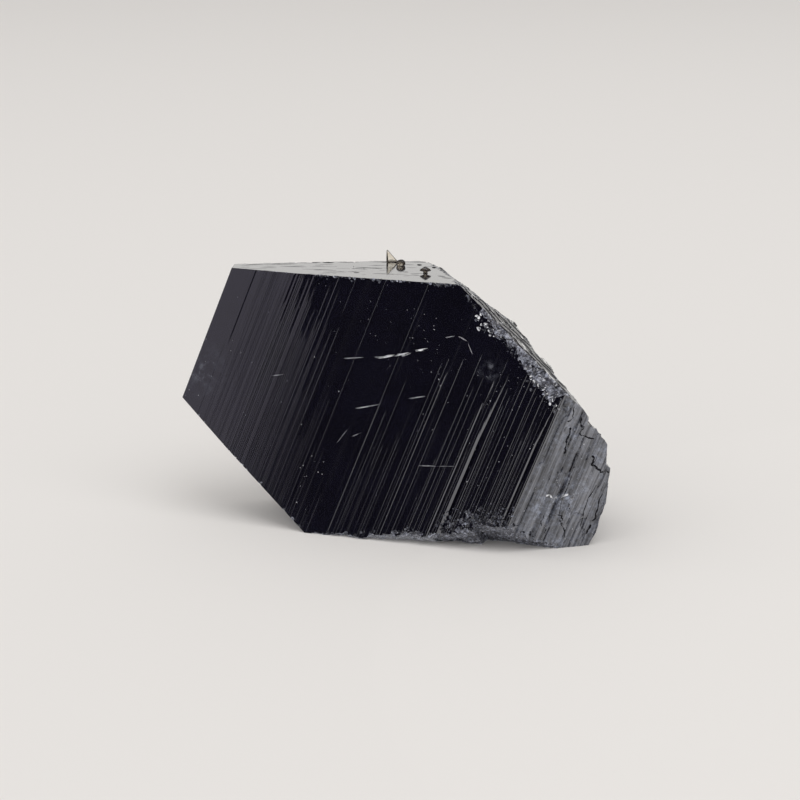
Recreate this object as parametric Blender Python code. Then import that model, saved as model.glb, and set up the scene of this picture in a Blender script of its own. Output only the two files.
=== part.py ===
"""A broken anatase crystal, with three small quartz crystals on its upper face.

Anatase grows as a steep four-sided bipyramid. This one is unequally developed: its flat end is a long narrow strip,
and it lies on one of its lower faces, so that the opposite upper face is level on top. The far pyramid is broken off.

Two frames are used. In the crystal's own frame, +Z is the long axis, +X and +Y are the two equal side axes, and the
origin is the corner where the flat end meets the front face and the top face. Growth faces and their ledges are
made there. In the lying frame the same corner is the origin, +Z is up and +X runs from the flat end to the broken
end. Breaks, chips and the quartz are placed there. At the end all is moved to stand on z = 0, centred.
"""

import bpy
import bmesh
from math import cos, pi, radians, sin, tan
from mathutils import Matrix, Vector, noise
from random import Random

MM = 0.001
SAME_PLACE = 0.0005
BLOCK_DEPTH = 9.0

# The crystal's form: the angle between a pyramid face and the flat end is the mineral's own.
PYRAMID_ANGLE = radians(68.30)
FLARE = 1 / tan(PYRAMID_ANGLE)
CAP_LENGTH = 7.22
CAP_WIDTH = 1.05
FRONT_WAIST = 17.06
TOP_WAIST = 10.68
UNDER_WAIST = 8.24
BACK_WAIST = 15.2
BODY_LENGTH = 25.0
ROW_TOP = 8.5
ROW_BOTTOM = -15.5
ROWS = 17

# Growth ledges, as (distance from the flat end, width, upper end, lower end) along the face, in millimetres.
FRONT_LEDGES = (
    (1.18, 0.06, 2.0, -3.6),
    (3.35, 0.05, 4.0, -4.5),
    (3.62, 0.05, 4.0, -7.0),
    (3.90, 0.06, 4.0, -9.0),
    (4.20, 0.05, 4.0, -10.5),
    (4.55, 0.06, 4.0, -12.0),
    (4.90, 0.05, 1.5, -12.0),
    (5.35, 0.05, 4.5, -12.0),
    (6.05, 0.06, 0.0, -12.0),
    (7.30, 0.05, 5.0, -7.0),
    (8.35, 0.05, -1.0, -12.0),
    (9.25, 0.08, 6.0, -12.0),
    (10.20, 0.05, 1.0, -9.0),
    (11.05, 0.05, -3.0, -12.0),
    (11.70, 0.09, 0.0, -12.0),
    (12.14, 0.06, -1.0, -12.0),
    (12.55, 0.05, 2.0, -5.0),
    (12.95, 0.06, -0.8, -12.0),
    (13.40, 0.05, 1.5, -12.0),
    (13.82, 0.18, 1.2, -12.0),
    (14.22, 0.26, 1.8, -12.0),
    (14.80, 0.05, 0.0, -12.0),
    (15.26, 0.07, 2.2, -12.0),
    (15.60, 0.07, 2.6, -12.0),
    (15.95, 0.05, -1.0, -12.0),
    (16.30, 0.07, 3.0, -12.0),
    (16.62, 0.18, 3.0, -12.0),
)
LOWER_LEDGES = (
    (17.55, 0.06, 2.0, -4.0),
    (18.05, 0.05, -2.0, -12.0),
    (18.45, 0.07, 1.0, -4.5),
    (18.95, 0.05, 3.0, -7.0),
    (19.40, 0.07, -0.5, -5.0),
    (19.85, 0.05, -3.0, -9.0),
    (20.35, 0.14, -3.6, -12.0),
    (20.80, 0.22, -4.6, -12.0),
)
BACK_LEDGES = (
    (0.60, 0.22, 9.0, -16.0),
    (1.70, 0.26, 9.0, -16.0),
    (2.75, 0.40, 9.0, -16.0),
    (4.10, 0.34, 9.0, -9.0),
    (5.05, 0.45, 9.0, -16.0),
    (6.60, 0.38, 9.0, -16.0),
    (7.60, 0.55, 6.0, -16.0),
    (8.90, 0.42, 9.0, -16.0),
    (10.30, 0.36, 3.0, -16.0),
    (11.20, 0.60, 9.0, -16.0),
    (12.70, 0.34, 9.0, -16.0),
    (13.70, 0.50, 2.0, -16.0),
)
LEDGE_FADE = 1.6
FRONT_RECOVERY = 0.10

# The breaks, as (a point in millimetres, outward direction, width, height, cells, unevenness, grain) in the lying
# frame. The far pyramid is gone, the top right corner has split off behind, and two long edges are crumbled.
BREAKS = {
    "end_break": ((18.88, -5.35, -8.8), (0.990, 0.10, -0.06), 16, 20, 22, 0.24, 1.7),
    "toe_break": ((18.52, -5.15, -11.5), (0.930, 0.00, -0.36), 14, 14, 18, 0.20, 1.1),
    "shoulder_break": ((17.60, -6.0, -5.95), (0.800, 0.15, 0.580), 16, 8, 20, 0.20, 1.3),
    "corner_break": ((12.35, -3.75, -0.80), (0.585, 0.15, 0.797), 14, 14, 22, 0.10, 0.9),
    "back_break": ((14.60, -0.8, -2.35), (0.610, 0.560, 0.560), 16, 16, 20, 0.32, 1.8),
    "edge_break": ((14.50, -5.25, -2.90), (0.234, -0.777, 0.585), 11, 5, 22, 0.14, 0.7),
    "under_break": ((9.30, -4.10, -12.8), (-0.060, -0.565, -0.823), 10.4, 6, 22, 0.12, 0.7),
    "heel_break": ((14.60, -4.55, -12.82), (-0.20, -0.52, -0.83), 3.6, 5, 8, 0.06, 0.6),
    "foot_break": ((16.00, -5.30, -12.8), (0.10, -0.70, -0.70), 5.2, 3, 10, 0.08, 0.6),
}

# Scoops out of the front face's edges, as (distance from the flat end, height along the face, radius, depth).
CHIPS = (
    (12.64, 3.05, 0.48, 0.16),
    (12.20, 3.20, 0.30, 0.12),
    (16.05, 1.55, 0.62, 0.20),
    (15.60, 1.95, 0.45, 0.16),
    (16.55, 1.05, 0.42, 0.16),
    (15.15, 2.25, 0.32, 0.12),
    (4.25, 1.66, 0.24, 0.15),
    (4.55, 1.78, 0.16, 0.10),
    (5.89, 2.32, 0.16, 0.10),
    (6.96, 2.74, 0.26, 0.14),
    (9.60, 3.80, 0.32, 0.14),
    (9.95, 3.94, 0.30, 0.14),
    (12.23, -8.25, 0.40, 0.14),
    (13.20, -7.90, 0.30, 0.12),
    (15.10, -6.50, 0.50, 0.16),
    (15.70, -5.90, 0.45, 0.16),
    (16.30, -5.70, 0.50, 0.18),
    (16.85, -5.20, 0.40, 0.16),
    (6.95, -10.25, 0.30, 0.14),
    (7.90, -10.55, 0.34, 0.16),
)

# The quartz on the top face, in millimetres in the lying frame, each with its own small clearance under it.
CLEARANCE = 0.02
SPLINTER_FOOT = (7.98, 1.86)
SPLINTER_SIZE = (0.66, 0.24, 0.63)
GRAIN_FOOT = (8.42, 0.98)
GRAIN_SIZE = (0.48, 0.40, 0.33)
BUD_FOOT = (9.72, -1.15)
BUD_PROFILE = ((0.13, 0.0), (0.10, 0.07), (0.30, 0.13), (0.24, 0.21), (0.03, 0.34))
BUD_SIDES = 6

ANATASE_COLOUR = (0.012, 0.014, 0.026)
QUARTZ_COLOUR = (0.90, 0.87, 0.78)


def lay_down():
    """The turn from the crystal's own frame to the lying frame: one lower face points straight down."""
    s, c = sin(PYRAMID_ANGLE), cos(PYRAMID_ANGLE)
    return Matrix(((0, c, -s), (-1, 0, 0), (0, s, c)))


def columns_of(waist, upper, lower):
    """Distances from the flat end at which one side of the crystal bends, and what each stretch is."""
    stops = [(0.0, None)]
    for ledge in upper:
        stops.append((ledge[0], None))
        stops.append((ledge[0] + ledge[1], ledge))
    stops.append((waist, None))
    for ledge in lower:
        stops.append((ledge[0], None))
        stops.append((ledge[0] + ledge[1], ledge))
    stops.append((BODY_LENGTH, None))
    return stops


def strength(ledge, y):
    """How far a ledge is developed at one height: whole inside its ends, fading to nothing at them."""
    room = min(ledge[2] - y, y - ledge[3])
    return max(0.0, min(1.0, room / LEDGE_FADE))


def side_profile(stops, waist, recovery, y):
    """Distance of each stop out from the crystal's axis corner, at one height along the waist direction.

    A side flares out to its waist and then closes in again. A ledge is a short stretch that slopes the other way.
    """
    out, lag, profile = 0.0, 0.0, [0.0]
    for (start, _), (end, ledge) in zip(stops, stops[1:]):
        flare = FLARE if end <= waist else -FLARE
        length = end - start
        out += flare * length
        if ledge:
            lag += 2 * flare * length * strength(ledge, y)
        else:
            regained = min(abs(lag), recovery * length)
            lag -= regained if lag > 0 else -regained
        profile.append(out - lag)
    return profile


def striated_body():
    """The bipyramid's front and back sides with their ledges, still open-ended along its waist."""
    front = columns_of(FRONT_WAIST, FRONT_LEDGES, LOWER_LEDGES)
    back = columns_of(BACK_WAIST, BACK_LEDGES, ())
    ring = [(+1, i, stop[0]) for i, stop in enumerate(front)]
    ring += [(-1, i, back[i][0]) for i in reversed(range(len(back)))]
    bm = bmesh.new()
    place = bm.verts.layers.int.new("place_in_ring")
    corners = []
    for number, (side, _, depth) in enumerate(ring):
        corner = bm.verts.new((side * CAP_WIDTH, ROW_TOP, -depth))
        corner[place] = number
        corners.append(corner)
    face = bm.faces.new(corners)
    for row in range(1, ROWS):
        old = face
        grown = bmesh.ops.extrude_face_region(bm, geom=[old])["geom"]
        face = next(part for part in grown if isinstance(part, bmesh.types.BMFace))
        if row > 1:
            bmesh.ops.delete(bm, geom=[old], context="FACES_ONLY")
        for corner in face.verts:
            corner.co.y = ROW_TOP + (ROW_BOTTOM - ROW_TOP) * row / (ROWS - 1)
    shapes = {}
    for corner in bm.verts:
        y = corner.co.y
        if y not in shapes:
            near = side_profile(front, FRONT_WAIST, FRONT_RECOVERY, y)
            far = side_profile(back, BACK_WAIST, 0.0, y)
            shapes[y] = (near, far)
        side, stop, _ = ring[corner[place]]
        corner.co.x = shapes[y][0][stop] if side > 0 else -CAP_WIDTH - shapes[y][1][stop]
    bmesh.ops.recalc_face_normals(bm, faces=bm.faces)
    return bm


def cleave(bm, point, outward):
    """Cut everything beyond a plane off, and close the cut with one flat face."""
    cut = bmesh.ops.bisect_plane(
        bm, geom=bm.verts[:] + bm.edges[:] + bm.faces[:], dist=SAME_PLACE,
        plane_co=point, plane_no=outward, clear_outer=True)["geom_cut"]
    rim = [part for part in cut if isinstance(part, bmesh.types.BMEdge)]
    bmesh.ops.contextual_create(bm, geom=rim)


def grow_crystal():
    """The whole growth form in its own frame, then laid down."""
    s, c = sin(PYRAMID_ANGLE), cos(PYRAMID_ANGLE)
    bm = striated_body()
    cleave(bm, (0, 0, 0), (0, s, c))
    cleave(bm, (0, -CAP_LENGTH, 0), (0, -s, c))
    cleave(bm, (0, FLARE * TOP_WAIST, -TOP_WAIST), (0, s, -c))
    cleave(bm, (0, -CAP_LENGTH - FLARE * UNDER_WAIST, -UNDER_WAIST), (0, -s, -c))
    bmesh.ops.recalc_face_normals(bm, faces=bm.faces)
    bm.transform(lay_down().to_4x4())
    return bm


def make_object(name, bm, material=None):
    """An object from a shape in millimetres; everything that Blender holds is in metres."""
    bmesh.ops.scale(bm, verts=bm.verts, vec=(MM, MM, MM))
    mesh = bpy.data.meshes.new(name)
    bm.to_mesh(mesh)
    bm.free()
    thing = bpy.data.objects.new(name, mesh)
    bpy.context.scene.collection.objects.link(thing)
    if material:
        mesh.materials.append(material)
    return thing


def make_material(name, colour, roughness, see_through=0.0, bend=1.5):
    material = bpy.data.materials.new(name)
    material.use_nodes = True
    shader = material.node_tree.nodes["Principled BSDF"]
    shader.inputs["Base Color"].default_value = (*colour, 1)
    shader.inputs["Metallic"].default_value = 0.0
    shader.inputs["Roughness"].default_value = roughness
    shader.inputs["Transmission Weight"].default_value = see_through
    shader.inputs["IOR"].default_value = bend
    return material


def hide_cutter(block):
    block.hide_render = True
    block.hide_set(True)
    block.display_type = "WIRE"
    return block


def rough_block(name, point, outward, width, height, cells, roughness, grain):
    """A block beyond a plane, whose near side is as uneven as broken crystal: the space that a break took away."""
    point, outward = Vector(point), Vector(outward).normalized()
    turn = outward.to_track_quat("Z", "Y").to_matrix().to_4x4()
    bm = bmesh.new()
    bmesh.ops.create_grid(bm, x_segments=cells, y_segments=cells, size=0.5)
    bmesh.ops.scale(bm, verts=bm.verts, vec=(width, height, 1))
    top = bmesh.ops.extrude_face_region(bm, geom=bm.faces[:])["geom"]
    raised = [part for part in top if isinstance(part, bmesh.types.BMVert)]
    bmesh.ops.translate(bm, verts=raised, vec=(0, 0, BLOCK_DEPTH))
    bmesh.ops.recalc_face_normals(bm, faces=bm.faces)
    bm.transform(Matrix.Translation(point) @ turn)
    for corner in bm.verts:
        if (corner.co - point).dot(outward) < BLOCK_DEPTH / 2:
            lumps = noise.noise(corner.co / grain)
            flakes = noise.cell(corner.co / (grain * 1.7)) - 0.5
            corner.co += outward * (lumps + flakes) * roughness
    return hide_cutter(make_object(name, bm))


def scoop(name, depth, y, radius, bite):
    """A faceted lump sunk into the front face, which leaves a small shell-shaped chip."""
    place = Vector((FLARE * depth, y, -depth))
    bm = bmesh.new()
    bmesh.ops.create_icosphere(bm, subdivisions=1, radius=radius)
    turn = Random(name).random() * 2 * pi
    outward = Vector((sin(PYRAMID_ANGLE), 0, cos(PYRAMID_ANGLE)))
    tilt = outward.to_track_quat("Z", "Y").to_matrix().to_4x4()
    squash = Matrix.Diagonal((1, 1, 0.6, 1))
    rise = Matrix.Translation(place + outward * (radius * 0.6 - bite))
    bm.transform(rise @ tilt @ squash @ Matrix.Rotation(turn, 4, (1, 2, 3)))
    bm.transform(lay_down().to_4x4())
    return hide_cutter(make_object(name, bm))


def take_away(thing, cutter):
    cut = thing.modifiers.new(cutter.name, "BOOLEAN")
    cut.operation = "DIFFERENCE"
    cut.solver = "EXACT"
    cut.object = cutter


def make_anatase():
    material = make_material("anatase", ANATASE_COLOUR, 0.12, bend=2.5)
    crystal = make_object("anatase_crystal", grow_crystal(), material)
    for name, shape in BREAKS.items():
        take_away(crystal, rough_block(name, *shape))
    for number, chip in enumerate(CHIPS, 1):
        take_away(crystal, scoop(f"chip_{number:02d}", *chip))
    return crystal


def make_splinter(material):
    """A thin three-sided shard, standing on its broad edge with its point above its left end."""
    width, depth, height = SPLINTER_SIZE
    bm = bmesh.new()
    bmesh.ops.create_cube(bm, size=1)
    bm.transform(Matrix.Translation((0, 0, height / 2)) @ Matrix.Diagonal((width, depth, height, 1)))
    for corner in bm.verts:
        if corner.co.z > height / 2:
            corner.co.x = corner.co.x * 0.10 - width * 0.42
            corner.co.y = corner.co.y * 0.25 + depth * 0.10
        elif corner.co.y > 0:
            corner.co.x *= 0.80
    return rest_on_top("quartz_splinter", bm, SPLINTER_FOOT, material)


def make_grain(material):
    """A small rounded crystal, flat where it sits."""
    width, depth, height = GRAIN_SIZE
    bm = bmesh.new()
    bmesh.ops.create_icosphere(bm, subdivisions=2, radius=0.5)
    bm.transform(Matrix.Diagonal((width, depth, height * 1.25, 1)))
    cleave(bm, (0, 0, -height * 0.375), (0, 0, -1))
    bmesh.ops.translate(bm, verts=bm.verts, vec=(0, 0, height * 0.375))
    return rest_on_top("quartz_grain", bm, GRAIN_FOOT, material)


def make_bud(material):
    """A six-sided pointed crystal that widens above a narrow foot."""
    bm = bmesh.new()
    rim = [bm.verts.new((radius, 0, z)) for radius, z in BUD_PROFILE]
    edges = [bm.edges.new(pair) for pair in zip(rim, rim[1:])]
    bmesh.ops.spin(bm, geom=rim + edges, axis=(0, 0, 1), cent=(0, 0, 0), angle=2 * pi, steps=BUD_SIDES,
                   use_merge=True)
    bmesh.ops.remove_doubles(bm, verts=bm.verts, dist=0.001)
    bmesh.ops.holes_fill(bm, edges=bm.edges, sides=BUD_SIDES)
    bmesh.ops.scale(bm, verts=bm.verts, vec=(1, 0.65, 1))
    return rest_on_top("quartz_bud", bm, BUD_FOOT, material)


def rest_on_top(name, bm, foot, material):
    bmesh.ops.translate(bm, verts=bm.verts, vec=(*foot, CLEARANCE))
    bmesh.ops.recalc_face_normals(bm, faces=bm.faces)
    return make_object(name, bm, material)


def stand_on_floor(crystal):
    """Move everything so that the crystal's box is centred on the origin and rests on z = 0."""
    bpy.context.view_layer.update()
    whole = crystal.evaluated_get(bpy.context.evaluated_depsgraph_get()).to_mesh()
    low = [min(corner.co[axis] for corner in whole.vertices) for axis in range(3)]
    high = [max(corner.co[axis] for corner in whole.vertices) for axis in range(3)]
    shift = Vector((-(low[0] + high[0]) / 2, -(low[1] + high[1]) / 2, -low[2]))
    for thing in bpy.data.objects:
        thing.location = shift


for leftover in list(bpy.data.objects):
    bpy.data.objects.remove(leftover)

anatase = make_anatase()
quartz = make_material("quartz", QUARTZ_COLOUR, 0.05, see_through=0.9, bend=1.545)
make_splinter(quartz)
make_grain(quartz)
make_bud(quartz)
stand_on_floor(anatase)
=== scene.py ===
from math import cos, pi, radians, sin, tan
from random import Random

import bmesh
import bpy
from mathutils import Matrix, Vector, noise


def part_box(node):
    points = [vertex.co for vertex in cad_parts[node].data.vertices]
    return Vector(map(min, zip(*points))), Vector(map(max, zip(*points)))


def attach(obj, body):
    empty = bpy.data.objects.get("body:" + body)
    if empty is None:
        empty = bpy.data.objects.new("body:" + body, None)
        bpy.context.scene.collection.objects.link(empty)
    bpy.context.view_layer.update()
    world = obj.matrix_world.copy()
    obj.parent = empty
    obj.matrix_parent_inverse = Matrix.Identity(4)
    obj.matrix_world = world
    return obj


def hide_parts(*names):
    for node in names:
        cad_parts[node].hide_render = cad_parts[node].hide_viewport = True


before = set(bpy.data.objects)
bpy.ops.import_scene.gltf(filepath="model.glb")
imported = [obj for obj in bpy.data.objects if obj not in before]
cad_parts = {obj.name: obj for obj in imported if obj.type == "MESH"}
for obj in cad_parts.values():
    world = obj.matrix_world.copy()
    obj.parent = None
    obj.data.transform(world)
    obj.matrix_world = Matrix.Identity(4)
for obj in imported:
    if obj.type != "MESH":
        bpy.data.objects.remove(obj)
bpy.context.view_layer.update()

# Without a seed, noise_vector gives other vectors in each run.
noise.seed_set(1)

# ------------------------------------------------------------------------------
# The anatase crystal. One steep four-sided bipyramid of near-black titanium dioxide, lying on a lower face.
# Its front and back grew in ledges, all parallel to the waist; its far pyramid, its top right corner and two
# long edges have broken away. It is modelled in millimetres in the lying frame of the CAD, with the corner
# where flat end, front and top meet at the origin, and moved to its place at the end.

MM = 0.001
PYRAMID_ANGLE = radians(68.30)
FLARE = 1 / tan(PYRAMID_ANGLE)
CAP_LENGTH = 7.22
CAP_WIDTH = 1.05
FRONT_WAIST = 17.06
TOP_WAIST = 10.68
UNDER_WAIST = 8.24
BACK_WAIST = 15.2
BODY_LENGTH = 22.5
ROW_TOP = 8.5
ROW_BOTTOM = -13.5
ROWS = 72
SAME_PLACE = 0.0005

# Ledges that end on the face: (distance from the flat end, width, upper end, lower end, steepness). Each
# steps back over its width, and out again at a sheer edge.
CLIFF = 0.005
FRONT_LEDGES = (
    (7.32, 0.005, 5.0, -7.0, 1.8), (5.95, 0.004, 4.0, 0.3, 1.8), (9.26, 0.010, 3.9, -12.0, 1.8),
    (9.28, 0.018, -2.5, -12.0, 1.8), (9.67, 0.010, -3.0, -12.0, 1.8), (10.01, 0.008, -1.0, -6.0, 1.8),
    (10.17, 0.008, -4.5, -12.0, 1.8), (10.76, 0.010, -4.0, -12.0, 1.8), (11.26, 0.012, 0.5, -12.0, 1.8),
    (11.49, 0.014, 0.8, -12.0, 1.8), (11.64, 0.042, 0.2, -12.0, 1.8), (12.13, 0.022, 1.0, -12.0, 1.8),
    (12.73, 0.008, -4.0, -12.0, 1.8), (12.84, 0.018, 1.6, -12.0, 1.8), (13.06, 0.016, 0.0, -12.0, 1.8),
    (13.31, 0.014, 0.6, -12.0, 1.8), (13.64, 0.013, -1.0, -12.0, 1.8), (13.73, 0.150, 0.7, -12.0, 1.7),
    (14.04, 0.008, 2.0, -12.0, 1.8), (14.13, 0.250, 1.2, -12.0, 1.7), (14.54, 0.038, 0.6, -12.0, 1.8),
    (14.65, 0.018, 0.0, -12.0, 1.8), (14.78, 0.014, 0.4, -12.0, 1.8), (15.11, 0.025, 1.8, -12.0, 1.8),
    (15.37, 0.025, 1.8, -12.0, 1.8), (15.71, 0.026, 1.4, -12.0, 1.8), (15.90, 0.016, 1.0, -12.0, 1.8),
    (16.05, 0.014, -1.0, -12.0, 1.8), (16.20, 0.034, 1.6, -12.0, 1.8), (16.55, 0.012, 0.6, -12.0, 1.8),
    (16.69, 0.170, 1.1, -12.0, 1.8), (16.99, 0.050, 1.4, -12.0, 1.8),
)
LOWER_LEDGES = (
    (17.55, 0.06, 2.0, -4.0, 1.2), (18.05, 0.05, -2.0, -12.0, 1.4), (18.45, 0.07, 1.0, -4.5, 1.2),
    (18.95, 0.05, 3.0, -7.0, 1.5), (19.40, 0.07, -0.5, -5.0, 1.4), (19.85, 0.05, -3.0, -9.0, 1.5),
    (20.35, 0.14, -3.6, -12.0, 1.6), (20.80, 0.22, -4.6, -12.0, 1.6),
)
BACK_LEDGES = (
    (0.50, 0.22, 9.0, -16.0, 2.0), (1.55, 0.26, 9.0, -16.0, 2.0), (2.60, 0.40, 9.0, -16.0, 2.0),
    (4.00, 0.34, 9.0, -9.0, 2.0), (4.95, 0.45, 9.0, -16.0, 2.0), (6.50, 0.38, 9.0, -16.0, 2.0),
    (7.45, 0.55, 6.0, -16.0, 2.0), (8.80, 0.42, 9.0, -16.0, 2.0), (10.15, 0.36, 3.0, -16.0, 2.0),
    (11.10, 0.60, 9.0, -16.0, 2.0), (12.60, 0.34, 9.0, -16.0, 2.0), (13.55, 0.50, 2.0, -16.0, 2.0),
)
SPLIT_INTO = 5
SPLIT_APART = 0.10

# The part of the front next to the flat end leans three degrees further out, and ends in a band of hair lines
# that slants down to the right: (distance from the flat end, where the strips start, share that leans out).
LEAN = 0.060
LEAN_END = 3.05
DRAW_IN = 0.045
BAND = ((3.05, 3.2, 0.84), (3.4, 2.4, 0.78), (3.8, 1.2, 0.66), (4.2, 0.4, 0.56), (4.6, -0.4, 0.42),
        (5.0, -0.9, 0.33), (5.5, -1.8, 0.26), (6.1, -3.4, 0.14), (7.2, -6.0, 0.10), (8.4, -9.0, 0.08))
BAND_PITCH = 0.070
BAND_FOOT = -12.5
# A clear line of its own near the flat end, and how many fine grooves lie about it.
CLEFT = (1.18, 0.06, -LEAN * 2.2, 1.4, -3.8, 1.2)
END_GROOVES = 90

# Hair lines: (from, to, how many, widest, tops between, bottoms between, deepest).
FRONT_HAIRS = (
    (6.4, 9.2, 7, 0.010, (-1.0, 4.0), (-12.0, -6.0), 0.8),
    (9.3, 13.7, 20, 0.010, (-6.5, -1.0), (-12.0, -9.0), 1.2),
    (9.3, 13.7, 5, 0.010, (2.0, 5.0), (-3.0, 1.0), 0.9),
    (13.7, 17.0, 24, 0.012, (-3.0, 2.0), (-12.0, -6.0), 1.6),
)
BACK_HAIRS = ((0.3, 15.0, 110, 0.030, (-2.0, 8.0), (-14.0, -4.0), 1.6),
              (0.3, 15.0, 40, 0.060, (-6.0, 4.0), (-14.0, -8.0), 0.8))

# A wide ledge is cut as steps about this wide, whose upper ends are this far apart.
STEP_WIDTH = 0.045
STAGGER = 0.60
LEDGE_FADE = 0.4


def place_ledges(ledges, sign):
    """Ledges as stretches. A wide one is several steps with staggered upper ends, so that it tapers away."""
    placed = []
    for t, width, upper, lower, steep in ledges:
        steps = max(1, round(width / STEP_WIDTH))
        change = -sign * FLARE * steep
        for i in range(steps):
            top = upper - (steps - 1 - i) * STAGGER
            step, edge = width / steps, CLIFF / steps
            placed.append((t + i * step, step, change, top, lower, LEDGE_FADE))
            placed.append((t + width + i * edge, edge, -change * width / CLIFF, top, lower, LEDGE_FADE))
    return placed


def split_ledges(ledges, seed):
    """Each ledge as several narrower ones close together, no two alike."""
    draw = Random(seed)
    placed = []
    for t, width, upper, lower, steep in ledges:
        shares = [draw.uniform(0.5, 1.5) for _ in range(draw.randint(2, SPLIT_INTO))]
        for share in shares:
            part = width * share / sum(shares)
            end = lower + draw.uniform(-2, 2)
            placed.append((t, part, -FLARE * steep, upper, end, draw.uniform(0.5, 2.0)))
            t += part + SPLIT_APART * draw.uniform(0.3, 1.4)
    return placed


def is_free(stretches, start, end):
    return all(end < other[0] or start > other[0] + other[1] for other in stretches)


def add_hairs(stretches, hairs, sign, seed):
    """Narrow grooves between the ledges: one side of each steps back, the other steps out again."""
    draw = Random(seed)
    for first, last, count, widest, tops, bottoms, deepest in hairs:
        for _ in range(count):
            width = draw.uniform(0.4, 1.0) * widest
            start = draw.uniform(first, last)
            upper, lower = draw.uniform(*tops), draw.uniform(*bottoms)
            depth = deepest * draw.uniform(0.35, 1.0)
            fade = draw.uniform(0.4, 1.5)
            if is_free(stretches, start, start + width):
                half = width / 2
                stretches.append((start, half, -sign * FLARE * depth, upper, lower, fade))
                stretches.append((start + half, half, sign * FLARE * depth, upper, lower, fade))
    return sorted(stretches)


def add_band(stretches, seed):
    """Hair lines in the leaning part, and past it leaning strips, each starting lower than the one before."""
    draw = Random(seed)
    t = LEAN_END + 0.02
    while t < BAND[-1][0]:
        for (t1, y1, share1), (t2, y2, share2) in zip(BAND, BAND[1:]):
            if t1 <= t < t2:
                upper = y1 + (y2 - y1) * (t - t1) / (t2 - t1)
                share = share1 + (share2 - share1) * (t - t1) / (t2 - t1)
        pitch = BAND_PITCH * draw.uniform(0.6, 1.5)
        width = pitch * min(0.96, share * draw.uniform(0.6, 1.4))
        lean = (LEAN + DRAW_IN) * draw.choice((0.8, 1.0, 1.0, 1.1, 1.3, 1.6))
        upper, fade = upper + draw.gauss(0, 1.8), draw.uniform(0.3, 0.7)
        if is_free(stretches, t, t + width + CLIFF):
            stretches.append((t, width, lean, upper, BAND_FOOT, fade))
            stretches.append((t + width, CLIFF, -lean * width / CLIFF, upper, BAND_FOOT, fade))
        t += pitch + 2 * CLIFF
    stretches.append(CLEFT)
    for _ in range(END_GROOVES):
        t, width = 0.3 + (LEAN_END - 0.35) * draw.random() ** 0.40, draw.uniform(0.006, 0.020)
        upper = draw.uniform(-6, 4)
        lower = upper - draw.uniform(3, 12)
        if is_free(stretches, t, t + width):
            stretches.append((t, width, -LEAN * draw.choice((0.6, 1.0, 2.0)), upper, lower, 1.5))
    return stretches


def columns_of(waist, stretches, lean_end):
    """Where one side bends, as (distance from the flat end, slope up to there, stretch that ends there)."""
    bends = {0.0, waist, BODY_LENGTH, lean_end} | {stretch[0] for stretch in stretches}
    ends = {stretch[0] + stretch[1]: stretch for stretch in stretches}
    stops, last = [], 0.0
    for at in sorted(bends | set(ends)):
        middle = (at + last) / 2
        slope = FLARE + LEAN if middle < lean_end else FLARE if middle < waist else -FLARE
        slope -= DRAW_IN if lean_end < middle < waist and lean_end else 0.0
        stops.append((at, slope, ends.get(at)))
        last = at
    return stops


def developed(stretch, y):
    """How fully a stretch is developed at one height: whole inside its ends, nothing beyond them."""
    room = min(stretch[3] - y, y - stretch[4])
    return max(0.0, min(1.0, room / stretch[5]))


def side_profile(stops, y):
    """Distance of each stop out from the crystal's long edge line, at one height along the waist."""
    out, last, profile = 0.0, 0.0, []
    for at, slope, stretch in stops:
        if stretch:
            slope += stretch[2] * developed(stretch, y)
        out += slope * (at - last)
        profile.append(out)
        last = at
    return profile


def columns_for_sides():
    front = place_ledges(FRONT_LEDGES, 1) + place_ledges(LOWER_LEDGES, -1)
    front = add_band(front, 11)
    front = add_hairs(front, FRONT_HAIRS, 1, 21)
    back = add_hairs(split_ledges(BACK_LEDGES, 31), BACK_HAIRS, 1, 41)
    return columns_of(FRONT_WAIST, front, LEAN_END), columns_of(BACK_WAIST, back, 0.0)


def striated_body():
    """Front and back with their ledges and hair lines, still open-ended along the waist."""
    near, far = columns_for_sides()
    ring = [(+1, i, stop[0]) for i, stop in enumerate(near)]
    ring += [(-1, i, far[i][0]) for i in reversed(range(len(far)))]
    bm = bmesh.new()
    place = bm.verts.layers.int.new("place_in_ring")
    corners = []
    for number, (side, _, depth) in enumerate(ring):
        corner = bm.verts.new((side * CAP_WIDTH, ROW_TOP, -depth))
        corner[place] = number
        corners.append(corner)
    face = bm.faces.new(corners)
    for row in range(1, ROWS):
        old = face
        grown = bmesh.ops.extrude_face_region(bm, geom=[old])["geom"]
        face = next(part for part in grown if isinstance(part, bmesh.types.BMFace))
        if row > 1:
            bmesh.ops.delete(bm, geom=[old], context="FACES_ONLY")
        for corner in face.verts:
            corner.co.y = ROW_TOP + (ROW_BOTTOM - ROW_TOP) * row / (ROWS - 1)
    shapes = {}
    for corner in bm.verts:
        y = corner.co.y
        if y not in shapes:
            shapes[y] = (side_profile(near, y), side_profile(far, y))
        side, stop, _ = ring[corner[place]]
        corner.co.x = shapes[y][0][stop] if side > 0 else -CAP_WIDTH - shapes[y][1][stop]
    bmesh.ops.recalc_face_normals(bm, faces=bm.faces)
    return bm


def cleave(bm, point, outward):
    """Cut everything beyond a plane off, and close the cut with one flat face."""
    cut = bmesh.ops.bisect_plane(
        bm, geom=bm.verts[:] + bm.edges[:] + bm.faces[:], dist=SAME_PLACE,
        plane_co=point, plane_no=outward, clear_outer=True)["geom_cut"]
    rim = [part for part in cut if isinstance(part, bmesh.types.BMEdge)]
    bmesh.ops.contextual_create(bm, geom=rim)


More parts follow.
